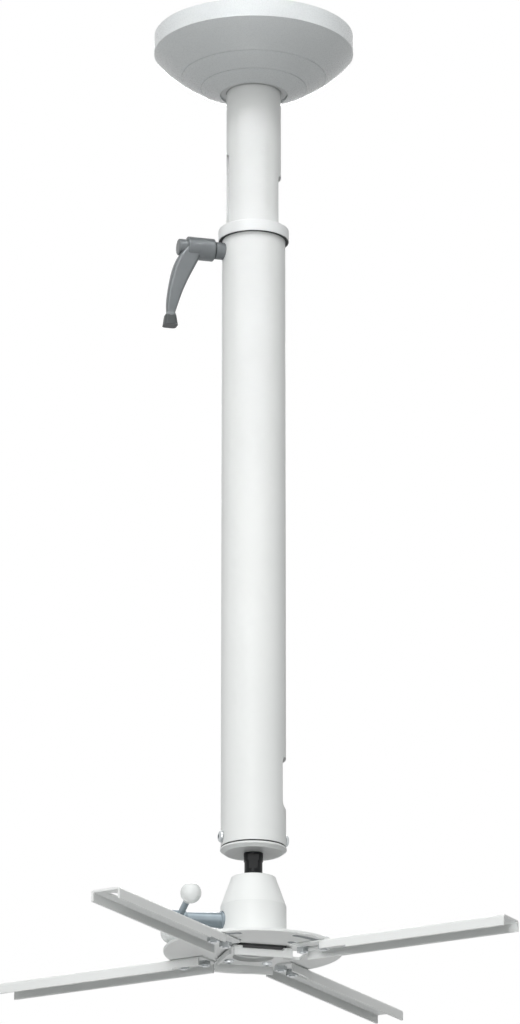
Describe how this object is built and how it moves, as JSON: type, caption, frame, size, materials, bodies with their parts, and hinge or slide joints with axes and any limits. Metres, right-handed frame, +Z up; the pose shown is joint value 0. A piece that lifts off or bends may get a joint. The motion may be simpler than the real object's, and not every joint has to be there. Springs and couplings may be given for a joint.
{
  "type": "projector ceiling mount",
  "caption": "Telescopic ceiling column with a bowl-shaped cover, a clamp lever, a lockable ball joint and a round plate with slotted swinging arms that carry a projector.",
  "frame": {"origin": "centre of the ceiling plate's upper face, on the ceiling", "axes": "+Z up along the column, -X towards the clamp lever, +X towards the cable openings, -Y towards the viewer"},
  "size_m": [0.3924, 0.3924, 0.9133],
  "materials": {
    "white_paint": "satin powder coat",
    "cover_white": "satin",
    "ring_plastic": "satin",
    "lever_zinc": "satin cast",
    "bright_steel": "turned",
    "knob_white": "gloss",
    "black_steel": "black oxide",
    "screw_steel": "zinc plated",
    "mat_rubber": "matte",
    "liner_plastic": "matte"
  },
  "bodies": {
    "ceiling": {"ceiling_plate": "white_paint", "socket_screws": "screw_steel", "inner_tube": "white_paint", "lower_bush": "ring_plastic"},
    "cover": {"ceiling_cover": "cover_white", "cover_bush": "ring_plastic"},
    "column": {"outer_tube": "white_paint", "collar_ring": "ring_plastic", "guide_nut": "screw_steel", "lever_bush": "bright_steel", "end_cap": "white_paint", "end_cap_screws": "screw_steel", "ball_stem": "black_steel", "stem_washer": "screw_steel", "stem_nut": "screw_steel"},
    "lever": {"lever_stud": "screw_steel", "lever_handle": "lever_zinc", "lever_cap": "lever_zinc"},
    "swivel_liner": {"upper_liner": "liner_plastic"},
    "tilt_liner": {"lower_liner": "liner_plastic"},
    "head": {"joint_housing": "white_paint", "seat_plug": "screw_steel", "brake_pad": "liner_plastic", "clamp_sleeve": "bright_steel", "sleeve_washer": "bright_steel", "disc_plate": "white_paint", "rubber_mat": "mat_rubber", "hub_tray": "white_paint", "hub_screws": "screw_steel"},
    "clamp_screw": {"clamp_spindle": "bright_steel"},
    "cross_bar": {"tommy_bar": "bright_steel", "knob_near": "knob_white", "knob_far": "knob_white"},
    "arm_front_left": {"arm_front_left": "white_paint", "arm_front_left_bolts": "black_steel", "arm_front_left_nuts": "black_steel"},
    "arm_front_right": {"arm_front_right": "white_paint", "arm_front_right_bolts": "black_steel", "arm_front_right_nuts": "black_steel"},
    "arm_back_right": {"arm_back_right": "white_paint", "arm_back_right_bolts": "black_steel", "arm_back_right_nuts": "black_steel"},
    "arm_back_left": {"arm_back_left": "white_paint", "arm_back_left_bolts": "black_steel", "arm_back_left_nuts": "black_steel"}
  },
  "joints": [
    {"name": "cover_slide", "type": "slide", "parent": "ceiling", "child": "cover", "axis": [0, 0, -1], "range_m": [0, 0.045]},
    {"name": "height_slide", "type": "slide", "parent": "ceiling", "child": "column", "axis": [0, 0, -1], "range_m": [-0.0945, 0.25]},
    {"name": "lever_turn", "type": "hinge", "parent": "column", "child": "lever", "pos_m": [0, 0, -0.2225], "axis": [1, 0, 0], "range_deg": [-95, 95]},
    {"name": "head_swivel", "type": "hinge", "parent": "column", "child": "swivel_liner", "pos_m": [0, 0, -0.874], "axis": [0, 0, 1], "continuous": true},
    {"name": "head_tilt_x", "type": "hinge", "parent": "swivel_liner", "child": "tilt_liner", "pos_m": [0, 0, -0.874], "axis": [1, 0, 0], "range_deg": [-10, 10]},
    {"name": "head_tilt_y", "type": "hinge", "parent": "tilt_liner", "child": "head", "pos_m": [0, 0, -0.874], "axis": [0, 1, 0], "range_deg": [-10, 10]},
    {"name": "clamp_turn", "type": "hinge", "parent": "head", "child": "clamp_screw", "pos_m": [0, 0, -0.874], "axis": [1, 0, 0], "range_deg": [-7, 30]},
    {"name": "bar_slide", "type": "slide", "parent": "clamp_screw", "child": "cross_bar", "axis": [0, -0.9613, 0.2756], "range_m": [-0.005, 0.0085]},
    {"name": "arm_front_left_swing", "type": "hinge", "parent": "head", "child": "arm_front_left", "pos_m": [0, 0, -0.902], "axis": [0, 0, 1], "range_deg": [-6, 13]},
    {"name": "arm_front_right_swing", "type": "hinge", "parent": "head", "child": "arm_front_right", "pos_m": [0, 0, -0.902], "axis": [0, 0, 1], "range_deg": [-19, 6]},
    {"name": "arm_back_right_swing", "type": "hinge", "parent": "head", "child": "arm_back_right", "pos_m": [0, 0, -0.902], "axis": [0, 0, 1], "range_deg": [-6, 13]},
    {"name": "arm_back_left_swing", "type": "hinge", "parent": "head", "child": "arm_back_left", "pos_m": [0, 0, -0.902], "axis": [0, 0, 1], "range_deg": [-19, 6]}
  ]
}
